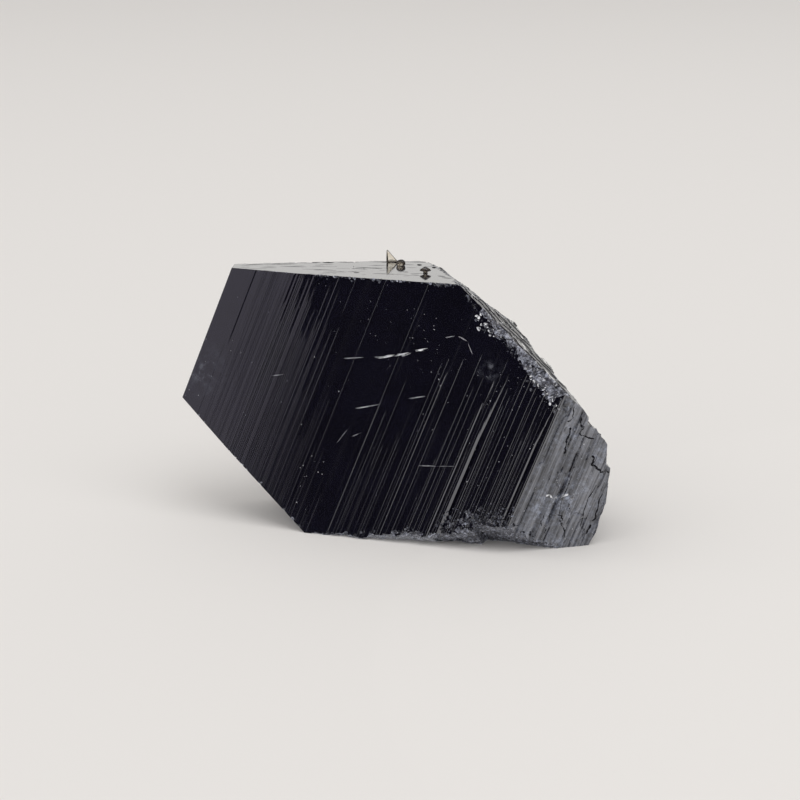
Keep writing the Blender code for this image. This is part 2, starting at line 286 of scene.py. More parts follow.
def in_order(bm):
    """The same mesh, its corners and faces numbered by where they are, so that each run cuts it the same."""
    corners = sorted(bm.verts, key=lambda corner: corner.co[:])
    number = {corner: n for n, corner in enumerate(corners)}
    rings = []
    for face in bm.faces:
        ring = [number[corner] for corner in face.verts]
        first = ring.index(min(ring))
        rings.append(ring[first:] + ring[:first])
    ordered = bmesh.new()
    corners = [ordered.verts.new(corner.co) for corner in corners]
    for ring in sorted(rings):
        ordered.faces.new([corners[n] for n in ring])
    bm.free()
    return ordered


SINE, COSINE = sin(PYRAMID_ANGLE), cos(PYRAMID_ANGLE)
LYING = Matrix(((0, COSINE, -SINE, 0), (-1, 0, 0, 0), (0, SINE, COSINE, 0), (0, 0, 0, 1)))

body = striated_body()
cleave(body, (0, 0, 0), (0, SINE, COSINE))
cleave(body, (0, -CAP_LENGTH, 0), (0, -SINE, COSINE))
cleave(body, (0, FLARE * TOP_WAIST, -TOP_WAIST), (0, SINE, -COSINE))
cleave(body, (0, -CAP_LENGTH - FLARE * UNDER_WAIST, -UNDER_WAIST), (0, -SINE, -COSINE))
bmesh.ops.recalc_face_normals(body, faces=body.faces)
body.transform(LYING)
body = in_order(body)


def new_object(name, data):
    thing = bpy.data.objects.new(name, data)
    bpy.context.scene.collection.objects.link(thing)
    return thing


def shown_object(name, bm, materials):
    mesh = bpy.data.meshes.new(name)
    bm.to_mesh(mesh)
    bm.free()
    for material in materials:
        mesh.materials.append(material)
    return new_object(name, mesh)


def cutter(name, bm, finish):
    """A shape to take away, whose faces give the cut the finish with that number."""
    for face in bm.faces:
        face.material_index = finish
    return shown_object(name, bm, finishes)


# The breaks: (a point, outward direction, width, height, cells across, unevenness, grain, crumble, run of the
# chips).
WAISTWARD = (COSINE, 0, SINE)
DOWN_SLOPE = (0.782, -0.364, -0.506)
BREAKS = {
    "end_break": ((18.88, -5.35, -8.8), (0.990, 0.10, -0.06), 16, 20, 22, 0.20, 1.7, 0.07, WAISTWARD),
    "toe_break": ((18.52, -5.15, -11.5), (0.930, 0.00, -0.36), 14, 14, 18, 0.20, 1.1, 0.06, WAISTWARD),
    "shoulder_break": ((17.60, -6.0, -5.95), (0.800, 0.15, 0.580), 16, 8, 20, 0.12, 1.3, 0.10, DOWN_SLOPE),
    "corner_break": ((12.38, -3.745, -0.76), (0.585, 0.15, 0.797), 13, 8, 34, 0.05, 0.9, 0.13, DOWN_SLOPE),
    "back_break": ((14.60, -0.8, -2.35), (0.610, 0.560, 0.560), 16, 16, 22, 0.22, 1.8, 0.12, DOWN_SLOPE),
    "edge_break": ((14.48, -5.18, -2.95), (0.275, -0.798, 0.547), 11, 5, 30, 0.14, 0.8, 0.14, (0, 0, 0)),
    "under_break": ((9.30, -4.10, -12.8), (-0.060, -0.565, -0.823), 10.4, 6, 26, 0.12, 0.7, 0.09, (0, 0, 0)),
    "heel_break": ((14.60, -4.55, -12.82), (-0.20, -0.52, -0.83), 3.6, 5, 12, 0.06, 0.6, 0.08, (0, 0, 0)),
    "foot_break": ((16.00, -5.30, -12.8), (0.10, -0.70, -0.70), 5.2, 3, 16, 0.08, 0.6, 0.10, (0, 0, 0)),
}
FINER = 5
GROWN, BROKEN, CRUSHED, WEATHERED, BRUISED = 0, 1, 2, 3, 4
POWDERED = ("edge_break", "under_break", "heel_break", "foot_break")
BREAK_DEPTH = 9.0
WORN_DEPTH = 1.5
ELONGATED = 0.72
COARSE_CHIP = 0.55
FINE_CHIP = 0.22


def hackle(point, size):
    """Height of one of the small flat chips that make up a fracture: each leans its own way."""
    middle = noise.voronoi(point / size)[1][0]
    lean = noise.noise_vector(middle * 7.3)
    return (point / size - middle).dot(lean) * 1.6 + noise.noise(middle * 3.1) * 0.6


def slab(steps, length, width, depth):
    """A block with a fine grid of corners on its underside, at height 0, and another on its top."""
    bm = bmesh.new()
    bmesh.ops.create_grid(bm, x_segments=steps[0], y_segments=steps[1], size=0.5)
    bmesh.ops.scale(bm, verts=bm.verts, vec=(length, width, 1))
    top = bmesh.ops.extrude_face_region(bm, geom=bm.faces[:])["geom"]
    upper = [part for part in top if isinstance(part, bmesh.types.BMVert)]
    bmesh.ops.translate(bm, verts=upper, vec=(0, 0, depth))
    bmesh.ops.recalc_face_normals(bm, faces=bm.faces)
    return bm


def rough_block(name, point, outward, width, height, cells, unevenness, grain, crumble, run):
    """The space that a break took away: a block whose near side is as hackly as broken crystal."""
    point, outward, run = Vector(point), Vector(outward).normalized(), Vector(run)
    turn = outward.to_track_quat("Z", "Y").to_matrix().to_4x4()
    bm = slab((cells * FINER, cells * FINER), width, height, BREAK_DEPTH)
    bm.transform(Matrix.Translation(point) @ turn)
    for corner in bm.verts:
        if (corner.co - point).dot(outward) < BREAK_DEPTH / 2:
            lumps = noise.noise(corner.co / grain)
            flakes = noise.cell(corner.co / (grain * 1.7)) - 0.5
            place = corner.co - run * (corner.co.dot(run) * ELONGATED)
            crumbs = hackle(place, COARSE_CHIP) + hackle(place, FINE_CHIP) * 0.5
            corner.co += outward * ((lumps + flakes) * unevenness + crumbs * crumble)
    return cutter(name, bm, BRUISED if name in POWDERED else BROKEN)


FRONT, BACK = columns_for_sides()


def out_at(side, t, y):
    """Distance of a side out from the long edge line, at a distance from the flat end and a height."""
    profile = side_profile(side, y)
    for number, stop in enumerate(side):
        if stop[0] >= t:
            break
    left, right = side[number - 1][0], side[number][0]
    share = (t - left) / (right - left)
    return profile[number - 1] + (profile[number] - profile[number - 1]) * share


# Terraces, coarse and fine: (width, length, height, depth of the grooves between them).
TERRACES = ((0.46, 3.4, 0.045, 0.06), (0.17, 2.2, 0.022, 0.025))
# Scales: (pitch, height, how far a row wanders, length of its waves along and across, which noise).
SCALES = ((0.95, 0.050, 0.9, (1.1, 2.5), 3.0), (0.45, 0.018, 1.3, (0.45, 1.2), 9.0))


def terraces(u, v):
    """Depth of the small flat terraces that the weathered lower faces are made of."""
    depth = 0.0
    for across, along, height, groove in TERRACES:
        apart, middles = noise.voronoi(Vector((u / across, v / along, across)), distance_metric="CHEBYCHEV")
        depth += height * (0.5 + 0.5 * noise.noise(middles[0] * 5.3))
        if apart[1] - apart[0] < 0.10 and noise.noise(middles[0] * 3.7 + middles[1] * 2.1) > 0.34 - 0.06 * u:
            depth += groove
    return depth + 0.02 * noise.noise(Vector((u / 0.9, v / 2.6, 7.0)))


def shingles(u, v):
    """Depth of the overlapping scales on the broken slope: each dips away and ends in a small wall."""
    depth = 0.0
    for pitch, height, wander, (along, across), layer in SCALES:
        bend = wander * noise.noise(Vector((u / along, v / across, layer)))
        depth += height * ((v / pitch + bend) % 1.0)
    return depth + 0.02 * noise.noise(Vector((u / 0.7, v / 2.0, 1.0))) + 0.02


def worn_block(name, place, length, width, steps, relief, finish):
    """What wear took off a face: a block on the face, its underside shaped as the relief left behind."""
    bm = slab(steps, length[1] - length[0], width[1] - width[0], WORN_DEPTH)
    bmesh.ops.translate(bm, verts=bm.verts, vec=((length[0] + length[1]) / 2, (width[0] + width[1]) / 2, 0))
    for corner in bm.verts:
        if corner.co.z < WORN_DEPTH / 2:
            corner.co.z -= relief(corner.co.x, corner.co.y)
    bm.transform(place)
    return cutter(name, bm, finish)


def below_waist(side, start, waist):
    """The face past the waist of the front (side 1) or the back (side -1), its length running downwards."""
    length, outward = (-side * COSINE, 0, side * SINE, start), (-SINE, 0, -COSINE, -waist)
    return LYING @ Matrix((length, (0, side, 0, 0), outward, (0, 0, 0, 1)))


def slope():
    """The face past the top waist: length runs down its edge with the front, width goes away from it."""
    outward = (LYING @ Vector((0, SINE, -COSINE, 0))).to_3d()
    length = outward.cross((LYING @ Vector((SINE, 0, COSINE, 0))).to_3d()).normalized()
    width = outward.cross(length)
    turn = Matrix((length, width, outward)).transposed().to_4x4()
    start = LYING @ Vector((FLARE * TOP_WAIST, FLARE * TOP_WAIST, -TOP_WAIST))
    return Matrix.Translation(start) @ turn


LOWER_FRONT = below_waist(1, out_at(FRONT, FRONT_WAIST, 0.0), FRONT_WAIST)
LOWER_BACK = below_waist(-1, -CAP_WIDTH - out_at(BACK, BACK_WAIST, -4.0), BACK_WAIST)


def on_face(t, y):
    """A place on the front of the crystal, above or below the waist line, in the lying frame."""
    if t < FRONT_WAIST:
        return LYING @ Vector((out_at(FRONT, t, y), y, -t))
    u = (t - FRONT_WAIST) / SINE
    return LOWER_FRONT @ Vector((u, y, -terraces(u, y)))


def on_back(t, y):
    return LYING @ Vector((-CAP_WIDTH - out_at(BACK, t, y), y, -t))


UP = Vector((0, 0, 1))
UPPER_OUT = (LYING @ Vector((SINE, 0, COSINE, 0))).to_3d()
LOWER_OUT = (LYING @ Vector((SINE, 0, -COSINE, 0))).to_3d()
MARK_GAP = 0.002
marks = []


def mark(middle, reach):
    """A mesh for one more small mark: the first of the meshes whose marks all stay clear of it."""
    for bm, taken in marks:
        if all((middle - other).length > reach + room for other, room in taken):
            break
    else:
        bm, taken = bmesh.new(), []
        marks.append((bm, taken))
    taken.append((middle, reach))
    return bm


def settle(bm, made, place, finish):
    """Put a newly made mark in its place, and give it its finish."""
    bmesh.ops.transform(bm, verts=made, matrix=place)
    for face in {face for corner in made for face in corner.link_faces}:
        face.material_index = finish


def spindle(start, end, outward, width, depth, finish):
    """A slender faceted spindle, sunk to its middle in a face: what a scratch, crack or pit took away."""
    along, middle = end - start, (start + end) / 2
    bm = mark(middle, max(along.length, width, 2 * depth) / 2 + MARK_GAP)
    across = outward.cross(along).normalized()
    turn = Matrix((along.normalized(), across, outward)).transposed().to_4x4()
    made = bmesh.ops.create_icosphere(bm, subdivisions=1, radius=1)["verts"]
    size = Matrix.Diagonal((along.length / 2, width / 2, depth, 1))
    settle(bm, made, Matrix.Translation(middle) @ turn @ size, finish)


def shard(draw, middle, size, finish):
    """An angular lump with flat facets, which leaves a small hackly hollow."""
    bm = mark(middle, size)
    made = bmesh.ops.create_icosphere(bm, subdivisions=1, radius=size)["verts"]
    turn = Matrix.Rotation(draw.uniform(0, pi), 4, [draw.gauss(0, 1) for _ in range(3)])
    squash = Matrix.Diagonal((draw.uniform(0.5, 1), draw.uniform(0.4, 0.9), draw.uniform(0.35, 0.8), 1))
    for corner in made:
        corner.co *= draw.uniform(0.62, 1.0)
    settle(bm, made, Matrix.Translation(middle) @ turn @ squash, finish)


# Bruised scratches across the front, each a bundle of strokes: ((distance from the flat end, height) of both
# ends, width).
STROKES = 8
SCRATCH_DEPTH = 0.03
SCRATCHES = (
    ((6.85, -1.56), (7.75, -1.02), 0.035), ((8.18, -0.85), (9.02, -0.30), 0.09),
    ((9.05, -0.34), (9.70, 0.22), 0.11), ((9.75, 0.25), (10.36, 0.73), 0.12),
    ((8.26, -3.58), (9.21, -2.87), 0.05), ((10.44, -1.95), (11.13, -1.44), 0.04),
    ((11.95, -4.79), (12.87, -4.34), 0.04), ((12.90, -4.33), (13.71, -3.91), 0.03),
    ((3.85, -3.99), (4.34, -3.68), 0.035), ((8.05, -5.60), (8.30, -4.62), 0.025),
    ((8.50, -5.05), (8.95, -4.55), 0.025), ((10.90, 1.55), (11.40, 1.93), 0.035),
    ((11.45, 1.96), (11.95, 1.90), 0.035), ((12.00, 1.86), (12.45, 1.40), 0.03),
    ((18.20, -3.50), (18.42, -3.32), 0.11), ((18.42, -3.32), (18.62, -3.48), 0.11),
    ((18.62, -3.48), (18.92, -3.30), 0.11), ((18.92, -3.30), (19.30, -3.05), 0.11),
)

# Cracks across the lower front, each a crooked line of (distance from the flat end, height), with its width.
CRACKS = (
    (0.13, (18.35, 0.75), (18.45, 0.40), (18.65, 0.30), (18.55, -0.05), (18.85, -0.05), (19.10, -0.10),
     (19.35, -0.05)),
    (0.14, (18.00, 0.15), (18.10, -0.25), (18.15, -0.80), (18.20, -1.15)),
    (0.15, (19.60, -0.90), (19.80, -1.00), (19.75, -1.25), (20.00, -1.40), (20.40, -1.55), (20.70, -1.45)),
    (0.08, (20.40, -2.25), (20.28, -3.30), (20.52, -4.45)),
    (0.14, (20.90, -2.60), (20.98, -3.40), (20.95, -4.10)),
    (0.16, (20.98, -4.25), (21.00, -4.75)),
    (0.08, (18.55, -4.40), (18.62, -4.95)),
    (0.07, (18.95, -5.05), (19.00, -5.30)),
    (0.10, (19.20, -4.20), (19.45, -4.25), (19.50, -4.50), (19.65, -4.65), (19.85, -4.95), (20.00, -5.20)),
    (0.07, (19.05, -2.10), (19.15, -3.20), (19.20, -4.15)),
    (0.09, (17.75, 1.20), (17.85, 0.75), (17.85, 0.45), (17.70, 0.40)),
)
PITS = ((18.95, -1.75), (19.05, -2.60), (18.45, -2.50), (19.60, -3.80))

# Grooves and pits in the top: both ends as (along, across), width, depth. Fine strokes lie between them.
TOP_STROKES = 60
TOP_LINES = (
    ((0.3, 0.95), (1.6, 1.02), 0.10, 0.03), ((1.7, 1.03), (3.2, 1.20), 0.10, 0.03),
    ((3.4, 1.75), (4.4, 1.62), 0.20, 0.05), ((4.35, 1.66), (5.05, 1.66), 0.34, 0.14),
    ((5.1, 1.70), (6.4, 1.92), 0.14, 0.05), ((6.6, 1.95), (8.6, 2.05), 0.16, 0.06),
    ((8.5, 2.05), (10.3, 2.00), 0.18, 0.07),
    ((6.0, 0.46), (7.7, 0.02), 0.16, 0.05), ((5.9, 0.10), (6.9, -0.15), 0.14, 0.04),
    ((6.15, -1.13), (6.50, -1.10), 0.20, 0.08), ((8.60, -0.83), (8.90, -0.82), 0.18, 0.07),
    ((10.3, -1.80), (10.75, -2.00), 0.20, 0.09), ((10.5, -2.25), (11.1, -2.5), 0.18, 0.07),
    ((9.20, 1.17), (9.50, 1.20), 0.50, 0.22), ((9.98, 0.43), (10.24, 0.46), 0.50, 0.22),
    ((8.0, 1.25), (9.2, 1.22), 0.12, 0.04), ((2.2, 0.55), (3.9, 0.35), 0.12, 0.03),
    ((7.0, -1.30), (8.3, -1.45), 0.12, 0.03), ((9.0, -1.60), (9.5, -1.75), 0.12, 0.05),
    ((4.2, -0.30), (5.4, -0.55), 0.12, 0.03), ((6.05, 0.9), (6.15, -0.6), 0.07, 0.03),
    ((6.6, 0.3), (6.66, -0.4), 0.07, 0.03), ((10.6, 1.5), (10.8, 0.9), 0.14, 0.08),
)

# Small pits in the front, in clusters: (middle as (distance from the flat end, height), spread, how many).
PIT_CLUSTERS = (((8.3, 1.3), (1.6, 1.6), 16), ((10.2, 1.2), (1.4, 1.2), 22), ((7.4, -7.5), (0.5, 1.6), 14),
                ((12.2, -0.8), (1.8, 2.2), 34), ((15.2, -2.6), (1.2, 2.4), 20), ((5.9, -1.6), (1.4, 2.4), 10),
                ((1.0, -5.0), (0.8, 1.4), 10), ((19.4, -2.6), (1.2, 2.6), 60), ((14.3, 1.2), (1.0, 0.8), 14))

# Nicks along the edges of the front and the back: from, to, how many, which edge, which side.
EDGE_NICKS = ((0.5, 4.0, 10, 1, on_face), (4.0, 7.2, 44, 1, on_face), (7.2, 10.8, 54, 1, on_face),
              (0.5, 8.2, 30, -1, on_face))
BACK_NICKS = ((0.5, 10.6, 60, 1, on_back), (0.5, 8.2, 40, -1, on_back))

POWDERY = (BRUISED, BRUISED, BRUISED, BROKEN)
SPARKLING = (CRUSHED, BRUISED, BROKEN, BROKEN)

# Crumbled stretches of the front: (distance from the flat end, height) of both ends, spread, how many and
# how large.
CRUMBLES = (
    ((11.0, 3.85), (13.2, 3.15), 0.07, 50, 0.13), ((13.2, 2.85), (15.0, 2.05), 0.13, 110, 0.13),
    ((15.0, 2.15), (17.0, 0.85), 0.16, 130, 0.15), ((12.1, 3.00), (13.05, 2.85), 0.16, 80, 0.17),
    ((15.4, 1.75), (16.7, 1.30), 0.24, 140, 0.15), ((4.15, 1.64), (4.75, 1.88), 0.07, 14, 0.15),
    ((5.75, 2.28), (6.05, 2.40), 0.05, 7, 0.14), ((6.80, 2.70), (7.15, 2.84), 0.06, 9, 0.16),
    ((9.30, 3.70), (10.35, 4.10), 0.09, 30, 0.18), ((9.0, -10.25), (12.2, -8.45), 0.10, 50, 0.16),
    ((12.2, -8.45), (14.6, -7.05), 0.16, 60, 0.20), ((14.2, -6.75), (17.0, -5.10), 0.30, 230, 0.20),
    ((15.0, -5.90), (17.1, -4.50), 0.25, 90, 0.12), ((17.2, -5.4), (20.6, -6.3), 0.16, 60, 0.20),
)


def nick_edges(draw, nicks):
    for first, last, count, side, on_side in nicks:
        for _ in range(count):
            t = draw.uniform(first, last)
            edge = FLARE * t if side > 0 else -CAP_LENGTH - FLARE * min(t, UNDER_WAIST)
            size = draw.choice((0.05, 0.07, 0.09, 0.12, 0.18))
            shard(draw, on_side(t, edge - side * draw.uniform(-0.03, 0.05)), size, BRUISED)


def make_marks():
    """All scratches, cracks, pits, fine lines and crumbled stretches."""
    draw = Random(3)
    for (t1, y1), (t2, y2), width in SCRATCHES:
        for _ in range(STROKES):
            first, last = sorted((draw.uniform(-0.1, 0.6), draw.uniform(0.4, 1.1)))
            aside = draw.gauss(0, width * 0.40)
            start = on_face(t1 + (t2 - t1) * first, y1 + (y2 - y1) * first + aside)
            end = on_face(t1 + (t2 - t1) * last + 0.02, y1 + (y2 - y1) * last + aside * 0.4)
            outward = UPPER_OUT if t1 < FRONT_WAIST else LOWER_OUT
            spindle(start, end, outward, width * draw.uniform(0.2, 0.5), SCRATCH_DEPTH, CRUSHED)
    for width, *places in CRACKS:
        crooked = places[:1]
        for (t1, y1), (t2, y2) in zip(places, places[1:]):
            for share in (1 / 3, 2 / 3, 1):
                t, y = t1 + (t2 - t1) * share, y1 + (y2 - y1) * share
                crooked.append((t + draw.gauss(0, 0.05), y + draw.gauss(0, 0.03)))
        for start, end in zip(crooked, crooked[1:]):
            start, end = on_face(*start), on_face(*end)
            reach, wide = (end - start) * 0.25, width * draw.uniform(0.4, 1.1)
            spindle(start - reach, end + reach, LOWER_OUT, wide, wide * 1.3, GROWN)
    for place in PITS:
        spindle(on_face(*place), on_face(place[0] + 0.06, place[1] + 0.12), LOWER_OUT, 0.09, 0.10, GROWN)
    for start, end, width, depth in TOP_LINES:
        spindle(Vector((*start, 0)), Vector((*end, 0)), UP, width, depth, GROWN)
    draw = Random(5)
    for _ in range(TOP_STROKES):
        start = Vector((draw.uniform(0.2, 10.5), draw.uniform(-2.2, 1.9), 0))
        run = Vector((draw.uniform(0.3, 1.5), draw.uniform(-0.12, 0.20), 0))
        spindle(start, start + run, UP, draw.uniform(0.04, 0.10), draw.uniform(0.008, 0.028), GROWN)
    nick_edges(draw, EDGE_NICKS)
    for (t1, y1), (t2, y2), spread, count, largest in CRUMBLES:
        for _ in range(count):
            share = draw.random()
            t = t1 + (t2 - t1) * share + draw.gauss(0, spread)
            place = on_face(t, y1 + (y2 - y1) * share + draw.gauss(0, spread))
            size = largest * draw.choice((0.35, 0.5, 0.7, 1.0))
            place += Vector([draw.gauss(0, 0.02) for _ in range(3)]) - UPPER_OUT * size * 0.1
            shard(draw, place, size, draw.choice(SPARKLING if spread > 0.13 and y1 > 0 else POWDERY))
    for (t, y), (wide, tall), count in PIT_CLUSTERS:
        for _ in range(count):
            place = (t + draw.gauss(0, wide * 0.6), y + draw.gauss(0, tall * 0.6))
            size = draw.choice((0.012, 0.016, 0.022, 0.034))
            end = (place[0] + draw.uniform(-2, 2) * size, place[1] + draw.uniform(-1, 2) * size)
            outward = UPPER_OUT if place[0] < FRONT_WAIST else LOWER_OUT
            spindle(on_face(*place), on_face(*end), outward, size, size * 0.5, CRUSHED)
    nick_edges(Random(7), BACK_NICKS)
    return [shown_object(f"marks_{n:02d}", bm, finishes) for n, (bm, _) in enumerate(marks, 1)]


def take_away(thing, cutters):
    """Cut each of the cutters off in turn, and keep the result as the shape."""
    for taken in cutters:
        cut = thing.modifiers.new(taken.name, "BOOLEAN")
        cut.operation = "DIFFERENCE"
        cut.solver = "MANIFOLD"
        cut.object = taken
    bpy.context.view_layer.update()
    evaluated = thing.evaluated_get(bpy.context.evaluated_depsgraph_get())
    whole = bpy.data.meshes.new_from_object(evaluated)
    thing.modifiers.clear()
    thing.data = whole
    for taken in cutters:
        bpy.data.objects.remove(taken)


def node(tree, kind, **values):
    """A new shader node. Each value is one of its settings, or what goes into its input of that name."""
    made = tree.nodes.new("ShaderNode" + kind)
    for key, value in values.items():
        if key not in made.inputs.keys():
            setattr(made, key, value)
        elif isinstance(value, bpy.types.NodeSocket):
            tree.links.new(value, made.inputs[key])
        else:
            made.inputs[key].default_value = value
    return made


def material_with(name, bend):
    material = bpy.data.materials.new(name)
    material.use_nodes = True
    shader = material.node_tree.nodes["Principled BSDF"]
    shader.inputs["IOR"].default_value = bend
    return material, material.node_tree, shader


def group_with(name, outcome, kind="NodeSocketFloat", **inputs):
    """An empty shader node group. Its inputs are numbers, or places where the value given is None."""
    group = bpy.data.node_groups.new(name, "ShaderNodeTree")
    for label, value in inputs.items():
        if value is None:
            group.interface.new_socket(label, in_out="INPUT", socket_type="NodeSocketVector")
        else:
            socket = group.interface.new_socket(label, in_out="INPUT", socket_type="NodeSocketFloat")
            socket.default_value = value
    group.interface.new_socket(outcome, in_out="OUTPUT", socket_type=kind)
    return group, group.nodes.new("NodeGroupInput"), group.nodes.new("NodeGroupOutput")


def join(tree, source, target):
    tree.links.new(source, target)


def use(tree, group, place=None, **values):
    """The output of a group, worked out at a place and with its own values."""
    made = node(tree, "Group", node_tree=group, **values)
    if place:
        join(tree, place, made.inputs["Place"])
    return made.outputs[0]


def between(tree, amount, low, high, first=0.0, last=1.0):
    """A number that runs from low to high as the amount runs from first to last, and no further."""
    scaled = node(tree, "MapRange", Value=amount)
    for label, value in (("From Min", first), ("From Max", last), ("To Min", low), ("To Max", high)):
        if isinstance(value, (int, float)):
            scaled.inputs[label].default_value = value
        else:
            join(tree, value, scaled.inputs[label])
    return scaled.outputs["Result"]


def combine(tree, operation, first, second):
    """The outcome of a sum on two numbers or sockets, kept between 0 and 1."""
    math = node(tree, "Math", operation=operation, use_clamp=True)
    for value, socket in zip((first, second), math.inputs):
        if isinstance(value, float):
            socket.default_value = value
        else:
            join(tree, value, socket)
    return math.outputs["Value"]


def times(tree, first, second):
    return combine(tree, "MULTIPLY", first, second)


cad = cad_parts["anatase_crystal"]
low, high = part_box("anatase_crystal")
left_end = [v.co.y for v in cad.data.vertices if v.co.x < low.x + 0.01 * MM]
corner = Vector((low.x + CAP_LENGTH * COSINE * MM, min(left_end), high.z))


def crystal_places():
    """Places counted in millimetres: (distance from the flat end, depth, height along the waist)."""
    group, _, out = group_with("crystal places", "Place", "NodeSocketVector")
    where = node(group, "TexCoord")
    lean = PYRAMID_ANGLE - pi / 2
    moved = Matrix.Rotation(lean, 3, "Y") @ (corner / MM)
    turn = node(group, "Mapping", Vector=where.outputs["Object"], Scale=[1 / MM] * 3,
                Rotation=(0, lean, 0), Location=-moved)
    join(group, turn.outputs["Vector"], out.inputs["Place"])
    return group


def waist_lines():
    """Hair lines along the waist, finer than the ledges that are cut into the shape."""
    group, given, out = group_with("waist lines", "Lines", Place=None, Across=20.0, Along=0.3)
    stretch = node(group, "CombineXYZ", X=given.outputs["Across"], Y=0.6, Z=given.outputs["Along"])
    scaled = node(group, "VectorMath", operation="MULTIPLY")
    join(group, given.outputs["Place"], scaled.inputs[0])
    join(group, stretch.outputs["Vector"], scaled.inputs[1])
    grain = node(group, "TexNoise", Vector=scaled.outputs["Vector"], Scale=1.0, Detail=3.0, Roughness=0.6)
    join(group, between(group, grain.outputs["Fac"], 0.0, 1.0, 0.40, 0.60), out.inputs["Lines"])
    return group


def mottle():
    """Uneven patches between 0 and 1: where a film, powder or dust has settled."""
    group, given, out = group_with("mottle", "Patches", Place=None, Fineness=1.0, Least=0.45, Most=0.65)
    grain = node(group, "TexNoise", Vector=given.outputs["Place"], Scale=given.outputs["Fineness"],
                 Detail=6.0, Roughness=0.65)
    clear = between(group, grain.outputs["Fac"], 0.0, 1.0, given.outputs["Least"], given.outputs["Most"])
    join(group, clear, out.inputs["Patches"])
    return group


def near_spot():
    """One inside a round spot, fading to nothing at its radius."""
    group, given, out = group_with("near a spot", "Nearness", Place=None, Spot=None, Radius=1.0)
    apart = node(group, "VectorMath", operation="DISTANCE")
    join(group, given.outputs["Place"], apart.inputs[0])
    join(group, given.outputs["Spot"], apart.inputs[1])
    nearness = between(group, apart.outputs["Value"], 1.0, 0.0, 0.0, given.outputs["Radius"])
    nearness.node.interpolation_type = "SMOOTHSTEP"
    join(group, nearness, out.inputs["Nearness"])
    return group


def dust():
    """Fine bright specks, scattered one by one."""
    group, given, out = group_with("dust", "Specks", Place=None, Fineness=2.0, Size=0.07)
    cells = node(group, "TexVoronoi", Vector=given.outputs["Place"], Scale=given.outputs["Fineness"])
    fade = between(group, cells.outputs["Distance"], 1.6, 0.0, 0.0, given.outputs["Size"])
    join(group, combine(group, "MINIMUM", fade, 1.0), out.inputs["Specks"])
    return group


PLACES, LINES, MOTTLE, SPOT, DUST = crystal_places(), waist_lines(), mottle(), near_spot(), dust()


def patches(tree, place, fineness, least, most):
    return use(tree, MOTTLE, place, Fineness=fineness, Least=least, Most=most)


def blend(tree, amount, first, second):
    """Mix two colours; each is a plain colour or a socket."""
    mix = node(tree, "Mix", data_type="RGBA")
    join(tree, amount, mix.inputs["Factor"])
    for value, socket in ((first, mix.inputs["A"]), (second, mix.inputs["B"])):
        if isinstance(value, tuple):
            socket.default_value = (*value, 1)
        else:
            join(tree, value, socket)
    return mix.outputs["Result"]


def paint(tree, shader, colour, rough):
    join(tree, colour, shader.inputs["Base Color"])
    join(tree, rough, shader.inputs["Roughness"])


def raised(tree, shader, height, step, strength=1.0):
    bump = node(tree, "Bump", Strength=strength, Distance=step, Height=height)
    join(tree, bump.outputs["Normal"], shader.inputs["Normal"])


# Bluish films on the front and the back: (distance from the flat end, depth, height), radius.
FILMS = (((0.5, 0.0, -5.4), 1.9), ((13.4, -5.0, 1.2), 0.9), ((18.0, -6.0, -0.4), 1.0),
         ((18.3, -6.0, -4.0), 1.2), ((14.6, 3.0, -6.0), 2.4), ((18.0, 2.2, -4.0), 2.6),
         ((5.0, 2.0, -8.5), 1.6), ((9.5, 2.6, 2.2), 1.3), ((19.6, -5.6, -3.4), 1.6),
         ((20.0, -5.5, -0.6), 0.9), ((17.6, -6.0, 1.3), 0.6), ((19.5, -5.6, -6.0), 1.3))


def near_films(tree, place):
    """How near a place is to the middle of one of the films."""
    near = 0.0
    for spot, radius in FILMS:
        near = combine(tree, "MAXIMUM", near, use(tree, SPOT, place, Spot=spot, Radius=radius))
    return near


def growth_finish():
    """Mirror-bright and almost black; weathered grey below the waist, with thin bluish films."""
    material, tree, shader = material_with("anatase_growth_face", 2.5)
    place = use(tree, PLACES)
    lines = use(tree, LINES, place, Across=26.0, Along=0.22)
    clouds = patches(tree, place, 0.5, 0.35, 0.7)
    film = patches(tree, place, 2.2, 0.46, 0.62)
    specks = times(tree, use(tree, DUST, place, Fineness=2.4, Size=0.065), film)
    split = node(tree, "SeparateXYZ", Vector=place)
    below = between(tree, split.outputs["X"], 0.0, 1.0, FRONT_WAIST - 0.1, FRONT_WAIST + 0.2)
    near = combine(tree, "MAXIMUM", near_films(tree, place), times(tree, below, 0.35))
    filmed = times(tree, film, near)
    dark = blend(tree, clouds, (0.0032, 0.0030, 0.0066), (0.0050, 0.0048, 0.0112))
    grey = blend(tree, lines, (0.010, 0.010, 0.013), (0.022, 0.023, 0.028))
    colour = blend(tree, below, dark, grey)
    colour = blend(tree, filmed, colour, (0.060, 0.066, 0.088))
    colour = blend(tree, specks, colour, (0.30, 0.31, 0.35))
    rough = between(tree, lines, 0.05, 0.11)
    for amount, rougher in ((below, 0.10), (filmed, 0.30), (specks, 0.50)):
        rough = combine(tree, "ADD", rough, times(tree, amount, rougher))
    paint(tree, shader, colour, rough)
    raised(tree, shader, lines, 0.0005 * MM, 0.5)
    return material


def fracture_finish():
    """Hackly broken surfaces: dark glassy chips with pale bruised powder between them."""
    material, tree, shader = material_with("anatase_fracture", 2.5)
    place = use(tree, PLACES)
    powder = patches(tree, place, 3.2, 0.50, 0.66)
    grit = patches(tree, place, 11.0, 0.35, 0.65)
    both = times(tree, powder, between(tree, grit, 0.35, 1.0))
    colour = blend(tree, both, (0.012, 0.013, 0.019), (0.30, 0.315, 0.37))
    paint(tree, shader, colour, between(tree, both, 0.14, 0.60))
    raised(tree, shader, grit, 0.012 * MM, 0.7)
    return material


